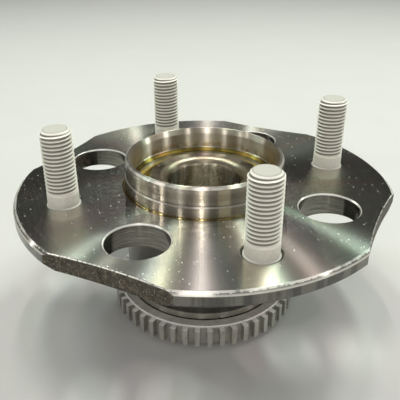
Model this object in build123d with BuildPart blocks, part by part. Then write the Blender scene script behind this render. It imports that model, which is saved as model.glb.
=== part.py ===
"""Wheel hub bearing unit: a scalloped stud flange forged in one with its bearing outer ring.

The hub turns with the wheel around two inner rings that are clamped on a fixed spindle.
Millimetres. The origin is on the spin axis, in the wheel face of the flange. +Z points
outboard, towards the wheel, so the studs and the pilot stand up from the flange.
Wheel studs lie on the X and Y axes and the access holes lie between them.
"""

from build123d import *
from math import asin, floor, pi
import os

# Wheel interface
stud_circle_radius = 57.15
stud_count = 4
pilot_height = 12.2
pilot_wall = 2.5
pilot_edge_chamfer = 0.8
register_height = 4.8
register_step = 0.4
base_groove_width = 0.9
base_groove_depth = 0.45

# Flange
rim_margin = 18.95
rim_thickness = 6.5
root_thickness = 10.4
root_fillet = 6.0
rim_front_chamfer = 1.2
rim_back_chamfer = 1.8
scallop_depth = 5.7
scallop_radius = 195.0
scallop_edge_break = 0.3
access_hole_diameter = 23.0
access_hole_inset = 4.95
access_hole_edge_break = 0.45

# Wheel studs
stud_diameter = 12.0
stud_projection = 29.6
stud_tip_chamfer = 1.45
stud_knurl_diameter = 12.9
stud_head_diameter = 19.4
stud_head_thickness = 4.2
stud_head_chamfer = 0.7
stud_seat_depth = 7.2
stud_seat_margin = 0.8
stud_hole_countersink = 0.9

# Bearing: two rows of balls, inner rings back to back
spindle_bore_diameter = 30.0
inner_race_wall = 3.7
outer_race_wall = 3.9
ball_diameter = 10.319
smallest_ball_gap = 1.8
ball_clearance = 0.0405
groove_conformity = 0.52
row_spacing = 28.0
inner_shoulder_height = 3.7
inner_low_land_height = 0.2
outer_rib_height = 3.7
outer_low_shoulder_height = 1.5
inner_ring_face_height = 3.5
inner_ring_standout = 3.0905
bore_corner_radius = 3.6
inner_ring_edge_chamfer = 0.5

# Ball cages
pocket_clearance = 0.15
cage_rim = 1.1
cage_inner_clearance = 0.5
cage_outer_clearance = 0.9
cage_prong_length = 2.9
cage_prong_slot = 1.1
cage_slot_depth = 1.7

# Seals
seal_width = 5.2
seal_step = 0.4
cage_seal_gap = 0.8
seal_sheet = 0.8
seal_case_web = 3.1
seal_bead_width = 1.6
seal_bead_height = 0.8
seal_skin = 1.1
lip_clearance = 0.12
lip_thickness = 0.55
lip_reach = 1.9
axial_lip_inset = 1.6
slinger_sheet = 0.6
slinger_tip_clearance = 0.3
slinger_sleeve_overlap = 0.2

# Hub bores outboard of the seal
seal_mouth_depth = 1.5
cap_bore_step = 1.5
cap_bore_chamfer_height = 1.7
pilot_lead_in = 0.8
pilot_lead_in_height = 2.3

# Inboard end of the hub and tone ring
hub_end_recess = 0.5905
hub_end_chamfer = 0.8
seal_bore_end_chamfer = 0.5
tone_seat_step = 0.3
tone_ring_height = 8.4
tone_ring_overhang = 0.8
tone_ring_wall = 4.5
tone_ring_edge_chamfer = 0.35
tone_tooth_count = 50
tone_tooth_height = 2.3
tone_tooth_width = 2.0
tone_tooth_setback = 0.6
tone_ring_turn = 2.25

# Clip that joins the inner rings in their bores
clip_clearance = 0.4
clip_sheet = 0.45
clip_hook_height = 0.55
clip_hook_width = 0.9
clip_half_width = 4.1
clip_gap = 4.0

# Bearing geometry that follows from the sizes above
bore_radius = spindle_bore_diameter / 2
ball_radius = ball_diameter / 2
inner_groove_radius = bore_radius + inner_race_wall
pitch_radius = inner_groove_radius + ball_clearance + ball_radius
outer_groove_radius = pitch_radius + ball_radius + ball_clearance
race_radius = groove_conformity * ball_diameter
ball_count = floor(pi / asin((ball_diameter + smallest_ball_gap) / (2 * pitch_radius)))
inner_land_radius = inner_groove_radius + inner_shoulder_height
inner_low_radius = inner_groove_radius + inner_low_land_height
rib_radius = outer_groove_radius - outer_rib_height
shoulder_radius = outer_groove_radius - outer_low_shoulder_height
barrel_radius = outer_groove_radius + outer_race_wall
seal_bore_radius = shoulder_radius + seal_step
cap_bore_radius = seal_bore_radius + cap_bore_step
pilot_radius = cap_bore_radius + pilot_wall
register_radius = pilot_radius + register_step
rim_radius = stud_circle_radius + rim_margin
scallop_distance = rim_radius - scallop_depth
access_hole_circle_radius = stud_circle_radius - access_hole_inset
pocket_radius = ball_radius + pocket_clearance
seal_web_radius = seal_bore_radius - seal_case_web
axial_lip_radius = seal_bore_radius - seal_sheet - axial_lip_inset
clip_band_radius = bore_radius + clip_clearance + clip_sheet
clip_hook_radius = clip_band_radius + clip_hook_height

# Axial stations: distances from a row of balls to the seal and to the end of its inner ring
cage_end = pocket_radius + cage_rim
seal_seat = cage_end + cage_seal_gap
seal_skin_top = seal_seat + seal_sheet + seal_skin
seal_end = seal_seat + seal_width
ring_end = seal_end + inner_ring_standout
outboard_row = inner_ring_face_height - ring_end
inboard_row = outboard_row - row_spacing
ring_joint = (outboard_row + inboard_row) / 2
hub_end = inboard_row - seal_end - hub_end_recess
seal_mouth = outboard_row + seal_end + seal_mouth_depth
cap_bore_floor = seal_mouth + cap_bore_chamfer_height
tone_ring_bottom = hub_end - tone_ring_overhang
tone_ring_top = tone_ring_bottom + tone_ring_height
tone_seat_radius = barrel_radius - tone_seat_step
tone_root_radius = tone_seat_radius + tone_ring_wall

half_stud_pitch = 180 / stud_count
OUTBOARD, INBOARD = 1, -1


def polar_point(radius, degrees, height=0):
    """The point at a radius and an angle about the spin axis."""
    return Vector(radius, 0, height).rotate(Axis.Z, degrees)


def turn(points, centre=(0, 0, 0)):
    """Adds a solid turned from corner points (radius, height) about a vertical axis at centre."""
    with BuildSketch(Plane(origin=centre, x_dir=(1, 0, 0), z_dir=(0, -1, 0))) as section:
        with BuildLine():
            Polyline(*points, close=True)
        make_face()
    revolve(section.sketch, axis=Axis(centre, (0, 0, 1)))


def turn_from_row(stations, row_height, side):
    """Turns (radius, distance) points, each distance measured from a ball row towards its seal."""
    turn([(radius, row_height + side * distance) for radius, distance in stations])


def grind_ball_groove(centre_radius, row_height):
    """Cuts a ball groove round the open part."""
    with BuildSketch(Plane.XZ) as wheel:
        with Locations((centre_radius, row_height)):
            Circle(race_radius)
    revolve(wheel.sketch, axis=Axis.Z, mode=Mode.SUBTRACT)


def finish(piece, name):
    """Labels a finished piece and writes its STEP file."""
    piece.label = name
    export_step(piece, f"parts/{name}.step")


def hub_outline():
    """Corners of the turned hub: pilot, flange and barrel outside, then the bores from inboard."""
    outside = [
        (pilot_radius - pilot_edge_chamfer, pilot_height),
        (pilot_radius, pilot_height - pilot_edge_chamfer),
        (pilot_radius, register_height),
        (register_radius, register_height - register_step),
        (register_radius, 0),
        (register_radius + base_groove_depth / 2, -base_groove_depth),
        (register_radius + base_groove_width, -base_groove_depth),
        (register_radius + base_groove_width + base_groove_depth, 0),
        (rim_radius - rim_front_chamfer, 0),
        (rim_radius, -rim_front_chamfer),
        (rim_radius, rim_back_chamfer - rim_thickness),
        (rim_radius - rim_back_chamfer, -rim_thickness),
        (barrel_radius, -root_thickness),
        (barrel_radius, tone_ring_top),
        (tone_seat_radius, tone_ring_top),
        (tone_seat_radius, hub_end + hub_end_chamfer),
        (tone_seat_radius - hub_end_chamfer, hub_end),
    ]
    inside = [
        (seal_bore_radius + seal_bore_end_chamfer, hub_end),
        (seal_bore_radius, hub_end + seal_bore_end_chamfer),
        (seal_bore_radius, inboard_row - seal_seat),
        (shoulder_radius, inboard_row - seal_seat),
        (shoulder_radius, inboard_row),
        (rib_radius, inboard_row),
        (rib_radius, outboard_row),
        (shoulder_radius, outboard_row),
        (shoulder_radius, outboard_row + seal_seat),
        (seal_bore_radius, outboard_row + seal_seat),
        (seal_bore_radius, seal_mouth),
        (cap_bore_radius, cap_bore_floor),
        (cap_bore_radius, pilot_height - pilot_lead_in_height),
        (cap_bore_radius + pilot_lead_in, pilot_height),
    ]
    return outside + inside


def make_hub_flange():
    """The forging: wheel flange, pilot and bearing outer ring in one piece."""
    with BuildPart() as hub_flange:
        turn(hub_outline())
        root_corner = (barrel_radius, 0, -root_thickness)
        root_edge = hub_flange.edges().filter_by(GeomType.CIRCLE).sort_by_distance(root_corner)[0]
        fillet(root_edge, root_fillet)
        for row_height in (outboard_row, inboard_row):
            grind_ball_groove(outer_groove_radius - race_radius, row_height)

        scallop_centre = scallop_distance + scallop_radius
        with BuildSketch(Plane.XY):
            with PolarLocations(scallop_centre, stud_count, start_angle=half_stud_pitch):
                Circle(scallop_radius)
        extrude(amount=root_thickness, both=True, mode=Mode.SUBTRACT)
        scallop_edges = hub_flange.edges(Select.LAST).filter_by(GeomType.CIRCLE)
        scallop_edges = scallop_edges.group_by(SortBy.RADIUS)[-1].group_by(Axis.Z)[-1]
        chamfer(scallop_edges, scallop_edge_break)

        with PolarLocations(access_hole_circle_radius, stud_count, start_angle=half_stud_pitch):
            CounterSinkHole(
                access_hole_diameter / 2, access_hole_diameter / 2 + access_hole_edge_break
            )
        with PolarLocations(stud_circle_radius, stud_count):
            CounterSinkHole(
                stud_knurl_diameter / 2, stud_knurl_diameter / 2 + stud_hole_countersink
            )
        with BuildSketch(Plane.XY.offset(-stud_seat_depth)):
            with PolarLocations(stud_circle_radius, stud_count):
                Circle(stud_head_diameter / 2 + stud_seat_margin)
        extrude(amount=-root_thickness, mode=Mode.SUBTRACT)
    return hub_flange.part


def make_wheel_stud(centre):
    """Pressed-in wheel stud: head, knurled seat and a plain shank of the thread's outer size."""
    stud_radius = stud_diameter / 2
    knurl_radius = stud_knurl_diameter / 2
    head_radius = stud_head_diameter / 2
    head_bottom = -stud_seat_depth - stud_head_thickness
    with BuildPart() as wheel_stud:
        turn(
            [
                (0, stud_projection),
                (stud_radius - stud_tip_chamfer, stud_projection),
                (stud_radius, stud_projection - stud_tip_chamfer),
                (stud_radius, 0),
                (knurl_radius, stud_radius - knurl_radius),
                (knurl_radius, -stud_seat_depth),
                (head_radius, -stud_seat_depth),
                (head_radius, head_bottom + stud_head_chamfer),
                (head_radius - stud_head_chamfer, head_bottom),
                (0, head_bottom),
            ],
            centre,
        )
    return wheel_stud.part


def make_tone_ring():
    """Toothed ring for the wheel speed sensor, pressed on the inboard end of the barrel."""
    with BuildPart() as tone_ring:
        turn(
            [
                (tone_seat_radius, tone_ring_bottom),
                (tone_root_radius, tone_ring_bottom),
                (tone_root_radius, tone_ring_top - tone_ring_edge_chamfer),
                (tone_root_radius - tone_ring_edge_chamfer, tone_ring_top),
                (tone_seat_radius + tone_ring_edge_chamfer, tone_ring_top),
                (tone_seat_radius, tone_ring_top - tone_ring_edge_chamfer),
            ]
        )
        tooth_root = tone_root_radius - tone_ring_edge_chamfer
        with BuildSketch(Plane.XY.offset(tone_ring_bottom)):
            with PolarLocations(tooth_root, tone_tooth_count, start_angle=tone_ring_turn):
                Rectangle(
                    tone_tooth_height + tone_ring_edge_chamfer, tone_tooth_width,
                    align=(Align.MIN, Align.CENTER),
                )
        extrude(amount=tone_ring_height - tone_tooth_setback)
    return tone_ring.part


def make_inner_ring(row_height, side):
    """Inner race of one ball row, with its high shoulder and its end face on the given side."""
    joint = -row_spacing / 2
    with BuildPart() as inner_ring:
        turn_from_row(
            [
                (bore_radius, ring_end),
                (inner_land_radius - inner_ring_edge_chamfer, ring_end),
                (inner_land_radius, ring_end - inner_ring_edge_chamfer),
                (inner_land_radius, 0),
                (inner_low_radius, 0),
                (inner_low_radius, joint),
                (clip_band_radius, joint),
                (clip_band_radius, joint + clip_half_width - clip_hook_width),
                (clip_hook_radius, joint + clip_half_width - clip_hook_width),
                (clip_hook_radius, joint + clip_half_width),
                (bore_radius, joint + clip_half_width),
            ],
            row_height,
            side,
        )
        bore_mouth = (bore_radius, 0, row_height + side * ring_end)
        mouth_edge = inner_ring.edges().filter_by(GeomType.CIRCLE).sort_by_distance(bore_mouth)[0]
        fillet(mouth_edge, bore_corner_radius)
        grind_ball_groove(inner_groove_radius + race_radius, row_height)
    return inner_ring.part


def make_inner_ring_clip():
    """Split steel clip whose hooks hold the two inner rings face to face from inside the bore."""
    inner_radius = bore_radius + clip_clearance
    hook_start = clip_half_width - clip_hook_width
    with BuildPart() as inner_ring_clip:
        turn(
            [
                (inner_radius, ring_joint - clip_half_width),
                (clip_hook_radius, ring_joint - clip_half_width),
                (clip_hook_radius, ring_joint - hook_start),
                (clip_band_radius, ring_joint - hook_start),
                (clip_band_radius, ring_joint + hook_start),
                (clip_hook_radius, ring_joint + hook_start),
                (clip_hook_radius, ring_joint + clip_half_width),
                (inner_radius, ring_joint + clip_half_width),
            ]
        )
        with Locations((0, clip_hook_radius, ring_joint)):
            Box(clip_gap, clip_hook_radius, 3 * clip_half_width, mode=Mode.SUBTRACT)
    return inner_ring_clip.part


def make_ball(centre):
    """One bearing ball."""
    with BuildPart() as ball:
        with Locations(centre):
            Sphere(ball_radius)
    return ball.part


def make_cage(row_height, side, first_angle):
    """Crown cage: a rim on the seal side, and pronged bars that snap over the balls."""
    cage_inner_radius = inner_land_radius + cage_inner_clearance
    cage_outer_radius = shoulder_radius - cage_outer_clearance
    with BuildPart() as cage:
        turn_from_row(
            [
                (cage_inner_radius, cage_end),
                (cage_outer_radius, cage_end),
                (cage_outer_radius, -cage_prong_length),
                (cage_inner_radius, -cage_prong_length),
            ],
            row_height,
            side,
        )
        with Locations((0, 0, row_height)):
            with PolarLocations(pitch_radius, ball_count, start_angle=first_angle):
                Sphere(pocket_radius, mode=Mode.SUBTRACT)
        bar_angle = first_angle + 180 / ball_count
        with BuildSketch(Plane.XY.offset(row_height - side * cage_prong_length)):
            with PolarLocations(pitch_radius, ball_count, start_angle=bar_angle):
                Rectangle(ball_diameter, cage_prong_slot)
        extrude(amount=side * cage_slot_depth, mode=Mode.SUBTRACT)
    return cage.part


def make_seal_case(row_height, side, rim):
    """Pressed steel seal case: a cylinder in the seal bore and a web towards the balls."""
    with BuildPart() as seal_case:
        turn_from_row(
            [
                (seal_bore_radius, seal_seat),
                (seal_bore_radius, rim),
                (seal_bore_radius - seal_sheet, rim),
                (seal_bore_radius - seal_sheet, seal_seat + seal_sheet),
                (seal_web_radius, seal_seat + seal_sheet),
                (seal_web_radius, seal_seat),
            ],
            row_height,
            side,
        )
    return seal_case.part


def lip_corners(running_radius):
    """Corners of the rubber that wraps the web: main lip, neck and grease lip."""
    tip_radius = running_radius + lip_clearance
    return [
        (seal_web_radius, seal_skin_top),
        (tip_radius + lip_thickness, seal_skin_top + lip_reach),
        (tip_radius, seal_skin_top + lip_reach - lip_thickness),
        (seal_web_radius - lip_thickness, seal_seat + seal_sheet),
        (tip_radius, seal_seat + lip_thickness),
        (tip_radius, seal_seat),
        (seal_web_radius, seal_seat),
        (seal_web_radius, seal_seat + seal_sheet),
    ]


def make_outboard_seal_lip():
    """Rubber of the outboard seal, which also covers the face and the outer edge of its case."""
    case_inner_radius = seal_bore_radius - seal_sheet
    with BuildPart() as seal_lip:
        turn_from_row(
            [
                (case_inner_radius, seal_seat + seal_sheet),
                (case_inner_radius, seal_end - seal_bead_height),
                (seal_bore_radius, seal_end - seal_bead_height),
                (seal_bore_radius, seal_end),
                (seal_bore_radius - seal_bead_width, seal_end),
                (case_inner_radius - seal_skin, seal_skin_top),
                *lip_corners(inner_land_radius),
            ],
            outboard_row,
            OUTBOARD,
        )
    return seal_lip.part


def make_inboard_seal_lip():
    """Rubber of the inboard seal, with one more lip against the flange of the slinger."""
    case_inner_radius = seal_bore_radius - seal_sheet
    axial_tip = seal_end - slinger_sheet - lip_clearance
    with BuildPart() as seal_lip:
        turn_from_row(
            [
                (case_inner_radius, seal_seat + seal_sheet),
                (case_inner_radius, seal_skin_top),
                (axial_lip_radius + lip_thickness, seal_skin_top),
                (axial_lip_radius + lip_thickness, axial_tip),
                (axial_lip_radius, axial_tip),
                (axial_lip_radius - lip_thickness, seal_skin_top),
                *lip_corners(inner_land_radius + slinger_sheet),
            ],
            inboard_row,
            INBOARD,
        )
    return seal_lip.part


def make_inboard_slinger():
    """Steel slinger pressed on the inboard inner ring, the running face of the inboard seal."""
    sleeve_radius = inner_land_radius + slinger_sheet
    tip_radius = seal_bore_radius - seal_sheet - slinger_tip_clearance
    with BuildPart() as slinger:
        turn_from_row(
            [
                (inner_land_radius, seal_end),
                (tip_radius, seal_end),
                (tip_radius, seal_end - slinger_sheet),
                (sleeve_radius, seal_end - slinger_sheet),
                (sleeve_radius, seal_seat - slinger_sleeve_overlap),
                (inner_land_radius, seal_seat - slinger_sleeve_overlap),
            ],
            inboard_row,
            INBOARD,
        )
    return slinger.part


os.makedirs("parts", exist_ok=True)

finish(make_hub_flange(), "hub_flange")
finish(make_tone_ring(), "tone_ring")
for stud in range(stud_count):
    stud_centre = polar_point(stud_circle_radius, stud * 360 / stud_count)
    finish(make_wheel_stud(stud_centre), f"wheel_stud_{stud + 1}")

finish(make_inner_ring(outboard_row, OUTBOARD), "inner_ring_outboard")
finish(make_inner_ring(inboard_row, INBOARD), "inner_ring_inboard")
finish(make_inner_ring_clip(), "inner_ring_clip")

ball_pitch_angle = 360 / ball_count
rows = (
    ("outboard", outboard_row, OUTBOARD, 0),
    ("inboard", inboard_row, INBOARD, ball_pitch_angle / 2),
)
for row_name, row_height, side, first_angle in rows:
    finish(make_cage(row_height, side, first_angle), f"cage_{row_name}")
    for index in range(ball_count):
        ball_centre = polar_point(pitch_radius, first_angle + index * ball_pitch_angle, row_height)
        finish(make_ball(ball_centre), f"ball_{row_name}_{index + 1:02d}")

outboard_case_rim = seal_end - seal_bead_height
finish(make_seal_case(outboard_row, OUTBOARD, outboard_case_rim), "outboard_seal_case")
finish(make_outboard_seal_lip(), "outboard_seal_lip")
finish(make_seal_case(inboard_row, INBOARD, seal_end), "inboard_seal_case")
finish(make_inboard_seal_lip(), "inboard_seal_lip")
finish(make_inboard_slinger(), "inboard_slinger")
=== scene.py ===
"""Dress a wheel hub bearing and stand it on a plain studio floor.

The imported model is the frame. Its nodes keep their shapes and places and get their
finishes here. The four wheel studs are modelled again with their rolled threads, which
the solids leave out. Lengths are in metres, and in millimetres inside the finishes.
"""

import logging
import math
from dataclasses import dataclass, field
from enum import Enum

import bmesh
import bpy
from mathutils import Matrix, Vector


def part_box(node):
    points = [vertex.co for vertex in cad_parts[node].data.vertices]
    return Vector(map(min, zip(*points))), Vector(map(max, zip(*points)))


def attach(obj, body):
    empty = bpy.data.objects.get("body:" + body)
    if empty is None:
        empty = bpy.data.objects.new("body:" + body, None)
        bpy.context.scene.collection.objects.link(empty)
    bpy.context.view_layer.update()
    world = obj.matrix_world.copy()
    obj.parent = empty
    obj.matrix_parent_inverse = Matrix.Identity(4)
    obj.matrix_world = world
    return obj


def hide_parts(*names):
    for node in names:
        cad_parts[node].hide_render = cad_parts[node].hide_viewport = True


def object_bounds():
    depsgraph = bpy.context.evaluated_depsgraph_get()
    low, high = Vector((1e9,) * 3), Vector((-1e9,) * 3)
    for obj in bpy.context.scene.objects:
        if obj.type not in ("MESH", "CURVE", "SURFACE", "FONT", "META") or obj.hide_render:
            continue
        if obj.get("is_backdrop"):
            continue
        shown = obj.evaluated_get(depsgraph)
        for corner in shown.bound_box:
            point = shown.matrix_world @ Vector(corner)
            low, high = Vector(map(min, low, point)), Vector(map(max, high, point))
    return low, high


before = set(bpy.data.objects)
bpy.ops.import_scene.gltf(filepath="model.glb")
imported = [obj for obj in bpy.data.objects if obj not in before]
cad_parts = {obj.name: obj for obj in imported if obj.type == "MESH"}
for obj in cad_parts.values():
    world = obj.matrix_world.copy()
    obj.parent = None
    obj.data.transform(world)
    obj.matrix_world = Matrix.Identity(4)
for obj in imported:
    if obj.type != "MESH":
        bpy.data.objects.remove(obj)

LOG = logging.getLogger("wheel_hub_bearing")
MM = 0.001
# On a thread: how near points are welded, how near a cut snaps to a point, and how
# near the points along a cut are welded.
WELD = 0.002 * MM
CUT = 0.0005 * MM
CUT_WELD = 0.01 * MM


# ---------------------------------------------------------------------------
# Shader graphs
# ---------------------------------------------------------------------------


class Value:
    """One number on a shader graph, with Python's operators standing for Math nodes."""

    def __init__(self, graph: "Graph", socket: bpy.types.NodeSocket) -> None:
        """Wrap a socket.

        Args:
            graph: the graph that the socket belongs to.
            socket: an output that carries one number.
        """
        self.graph = graph
        self.socket = socket

    def _math(self, operation: str, *others: "Value | float") -> "Value":
        """Return the result of one Math node on this value and the others."""
        return self.graph.maths(operation, self, *others)

    def __add__(self, other: "Value | float") -> "Value":
        """Return self + other."""
        return self._math("ADD", other)

    def __radd__(self, other: float) -> "Value":
        """Return other + self."""
        return self.graph.maths("ADD", other, self)

    def __sub__(self, other: "Value | float") -> "Value":
        """Return self - other."""
        return self._math("SUBTRACT", other)

    def __rsub__(self, other: float) -> "Value":
        """Return other - self."""
        return self.graph.maths("SUBTRACT", other, self)

    def __mul__(self, other: "Value | float") -> "Value":
        """Return self * other."""
        return self._math("MULTIPLY", other)

    def __rmul__(self, other: float) -> "Value":
        """Return other * self."""
        return self.graph.maths("MULTIPLY", other, self)

    def __truediv__(self, other: "Value | float") -> "Value":
        """Return self / other."""
        return self._math("DIVIDE", other)

    def __pow__(self, other: "Value | float") -> "Value":
        """Return self to the power of other."""
        return self._math("POWER", other)

    def __abs__(self) -> "Value":
        """Return the size of self without its sign."""
        return self._math("ABSOLUTE")

    def least(self, other: "Value | float") -> "Value":
        """Return the smaller of self and other."""
        return self._math("MINIMUM", other)

    def most(self, other: "Value | float") -> "Value":
        """Return the larger of self and other."""
        return self._math("MAXIMUM", other)

    def rise(self, low: float, high: float) -> "Value":
        """Return 0 below low and 1 above high, with a smooth step between.

        Args:
            low: where the step starts; it may be the larger one, for a falling step.
            high: where the step ends.

        Returns:
            A value from 0 to 1.
        """
        node = self.graph.node(
            "ShaderNodeMapRange",
            {"interpolation_type": "SMOOTHSTEP"},
            {"Value": self, "From Min": low, "From Max": high},
        )
        return Value(self.graph, node.outputs["Result"])

    def band(self, low: float, high: float, edge: float) -> "Value":
        """Return 1 between low and high and 0 outside, with steps edge wide."""
        return self.rise(low - edge, low) * self.rise(high + edge, high)


class Colour:
    """One colour on a shader graph."""

    def __init__(self, graph: "Graph", socket: bpy.types.NodeSocket) -> None:
        """Wrap an output socket of graph that carries a colour."""
        self.graph = graph
        self.socket = socket

    def toward(self, other: "Colour | tuple", share: "Value | float") -> "Colour":
        """Return this colour mixed toward another one by share."""
        return self.graph.mix(self, other, share)

    def coated(self, coats: "list[tuple]") -> "Colour":
        """Return this colour with others laid over it in turn.

        Args:
            coats: each coat's colour and its share.

        Returns:
            The colour on top.
        """
        colour = self
        for over, share in coats:
            colour = colour.toward(over, share)
        return colour

    def times(self, factor: "Value") -> "Colour":
        """Return this colour multiplied by a grey value."""
        return self.graph.mix(self, factor, 1.0, "MULTIPLY")


class Graph:
    """The node tree of one material or of the world."""

    def __init__(self, owner: bpy.types.Material | bpy.types.World) -> None:
        """Start an empty tree.

        Args:
            owner: the material or the world that the tree belongs to.
        """
        owner.use_nodes = True
        self.tree = owner.node_tree
        self.tree.nodes.clear()

    def node(
        self, kind: str, settings: dict | None = None, inputs: dict | None = None
    ) -> bpy.types.Node:
        """Add one node.

        Args:
            kind: the node's type.
            settings: its own settings, set before its sockets.
            inputs: what each socket holds or is linked to, by name or number.

        Returns:
            The new node.
        """
        node = self.tree.nodes.new(kind)
        for key, setting in (settings or {}).items():
            if key == "stops":
                self._set_stops(node.color_ramp, setting)
            else:
                setattr(node, key, setting)
        for key, held in (inputs or {}).items():
            socket = node.inputs[key]
            source = getattr(held, "socket", held)
            if isinstance(source, bpy.types.NodeSocket):
                self.tree.links.new(source, socket)
            else:
                socket.default_value = source
        return node

    @staticmethod
    def _set_stops(ramp: bpy.types.ColorRamp, stops: list) -> None:
        """Give a colour ramp its stops.

        Args:
            ramp: the ramp, which has two stops of its own.
            stops: each stop's place and colour.
        """
        while len(ramp.elements) < len(stops):
            ramp.elements.new(1.0)
        for element, (place, colour) in zip(ramp.elements, stops):
            element.position = place
            element.color = (*colour, 1.0)

    def maths(self, operation: str, *values: "Value | float") -> Value:
        """Return the result of one Math node.

        Args:
            operation: what the node does.
            values: the values or numbers that it takes, in order.

        Returns:
            The result.
        """
        inputs = dict(enumerate(values))
        node = self.node("ShaderNodeMath", {"operation": operation}, inputs)
        return Value(self, node.outputs["Value"])

    def mix(
        self,
        first: "Colour | tuple",
        second: "Colour | tuple | Value",
        share: "Value | float",
        blend: str = "MIX",
    ) -> Colour:
        """Return two colours mixed through one Mix node.

        Args:
            first: the colour at a share of 0.
            second: the colour at a share of 1.
            share: how far the mix lies from the first toward the second.
            blend: the Mix node's way of blending.

        Returns:
            The mixed colour.
        """
        sides = [(*c, 1.0) if isinstance(c, tuple) else c for c in (first, second)]
        node = self.node(
            "ShaderNodeMix",
            {"data_type": "RGBA", "blend_type": blend, "clamp_factor": True},
            {"Factor": share, 6: sides[0], 7: sides[1]},
        )
        return Colour(self, node.outputs[2])

    def ramp(self, value: Value, stops: list) -> Colour:
        """Return the colour that value has on a ramp of places and colours."""
        node = self.node("ShaderNodeValToRGB", {"stops": stops}, {"Fac": value})
        return Colour(self, node.outputs["Color"])

    def vector(
        self, x: "Value | float", y: "Value | float", z: "Value | float"
    ) -> bpy.types.NodeSocket:
        """Return a vector socket made of three values."""
        node = self.node("ShaderNodeCombineXYZ", None, {"X": x, "Y": y, "Z": z})
        return node.outputs["Vector"]

    def noise(
        self,
        place: bpy.types.NodeSocket,
        scale: float,
        detail: float = 3.0,
        roughness: float = 0.55,
        distortion: float = 0.0,
    ) -> Value:
        """Return soft noise from 0 to 1 at a place.

        Args:
            place: the vector that the noise is read at.
            scale: how many times it repeats in one unit of place.
            detail: how many finer layers it has.
            roughness: how strong the finer layers are.
            distortion: how much it is bent.

        Returns:
            The noise value.
        """
        node = self.node(
            "ShaderNodeTexNoise",
            None,
            {
                "Vector": place,
                "Scale": scale,
                "Detail": detail,
                "Roughness": roughness,
                "Distortion": distortion,
            },
        )
        return Value(self, node.outputs["Fac"])

    def cells(self, place: bpy.types.NodeSocket, scale: float) -> tuple[Value, Value]:
        """Scatter cells and read the nearest one.

        Args:
            place: the vector that the cells are read at.
            scale: how many cells lie along one unit of place.

        Returns:
            The distance to the cell's middle, and the cell's own number.
        """
        node = self.node(
            "ShaderNodeTexVoronoi", None, {"Vector": place, "Scale": scale}
        )
        parts = self.node(
            "ShaderNodeSeparateColor", None, {"Color": node.outputs["Color"]}
        )
        return Value(self, node.outputs["Distance"]), Value(self, parts.outputs[0])

    def bump(
        self, height: Value, strength: float, distance: float
    ) -> bpy.types.NodeSocket:
        """Return a normal bent by a height.

        Args:
            height: the height, in units of distance.
            strength: how much of it shows, from 0 to 1.
            distance: the height of 1, in millimetres.

        Returns:
            The normal's socket.
        """
        inputs = {"Strength": strength, "Distance": distance * MM, "Height": height}
        return self.node("ShaderNodeBump", None, inputs).outputs["Normal"]

    def surface(self, inputs: dict) -> bpy.types.NodeSocket:
        """Return a surface shader with these sockets."""
        node = self.node("ShaderNodeBsdfPrincipled", None, inputs)
        return node.outputs["BSDF"]

    def blend(
        self,
        share: Value,
        first: bpy.types.NodeSocket,
        second: bpy.types.NodeSocket,
    ) -> bpy.types.NodeSocket:
        """Return two surface shaders mixed by share, through one Mix Shader."""
        inputs = {0: share, 1: first, 2: second}
        return self.node("ShaderNodeMixShader", None, inputs).outputs["Shader"]


class Place:
    """Where a shaded point lies, in millimetres from an upright axis."""

    def __init__(self, graph: Graph, axis_x: float = 0.0, axis_y: float = 0.0) -> None:
        """Read Object coordinates and measure them from an axis.

        Args:
            graph: the graph that reads the place.
            axis_x: where the axis stands along X, in millimetres.
            axis_y: where it stands along Y.
        """
        source = graph.node("ShaderNodeTexCoord").outputs["Object"]
        mapped = graph.node(
            "ShaderNodeMapping",
            None,
            {
                "Vector": source,
                "Location": (-axis_x, -axis_y, 0.0),
                "Scale": (1 / MM, 1 / MM, 1 / MM),
            },
        )
        self.graph = graph
        self.point = mapped.outputs["Vector"]
        parts = graph.node("ShaderNodeSeparateXYZ", None, {"Vector": self.point})
        self.x, self.y, self.z = (Value(graph, s) for s in parts.outputs)
        self.radius = (self.x * self.x + self.y * self.y) ** 0.5
        self.angle = graph.maths("ARCTAN2", self.y, self.x)

    def rings(self, pitch: float, wander: float = 0.6) -> Value:
        """Return noise drawn out round the axis, as a turning tool leaves it.

        Args:
            pitch: how far apart its rings lie, in millimetres.
            wander: how fast it changes along one ring.

        Returns:
            The noise value.
        """
        place = self.graph.vector(
            self.radius / pitch, self.angle * wander, self.z / pitch
        )
        return self.graph.noise(place, 1.0, detail=2.0)

    def spokes(self, count: float, run: float = 400.0) -> Value:
        """Return noise that changes round the axis and little along its radius.

        Args:
            count: how often it changes in one radian.
            run: how far along the radius it stays alike, in millimetres.

        Returns:
            The noise value.
        """
        sine = self.graph.maths("SINE", self.angle)
        cosine = self.graph.maths("COSINE", self.angle)
        place = self.graph.vector(sine, cosine, self.radius / run)
        return self.graph.noise(place, count, detail=2.0)


# ---------------------------------------------------------------------------
# Finishes
# ---------------------------------------------------------------------------


@dataclass(frozen=True)
class Finish:
    """What one kind of surface looks like. Lengths are in millimetres."""

    def shader(self, graph: Graph, place: Place) -> bpy.types.NodeSocket:
        """Return the surface's shader, drawn on graph."""
        raise NotImplementedError

    def material(
        self, name: str, axis_x: float = 0.0, axis_y: float = 0.0
    ) -> bpy.types.Material:
        """Build the material for a piece that stands round an upright axis.

        Args:
            name: the material's name.
            axis_x: the axis's place along X.
            axis_y: its place along Y.

        Returns:
            The finished material.
        """
        made = bpy.data.materials.new(name)
        graph = Graph(made)
        shader = self.shader(graph, Place(graph, axis_x, axis_y))
        graph.node("ShaderNodeOutputMaterial", None, {"Surface": shader})
        return made


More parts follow.
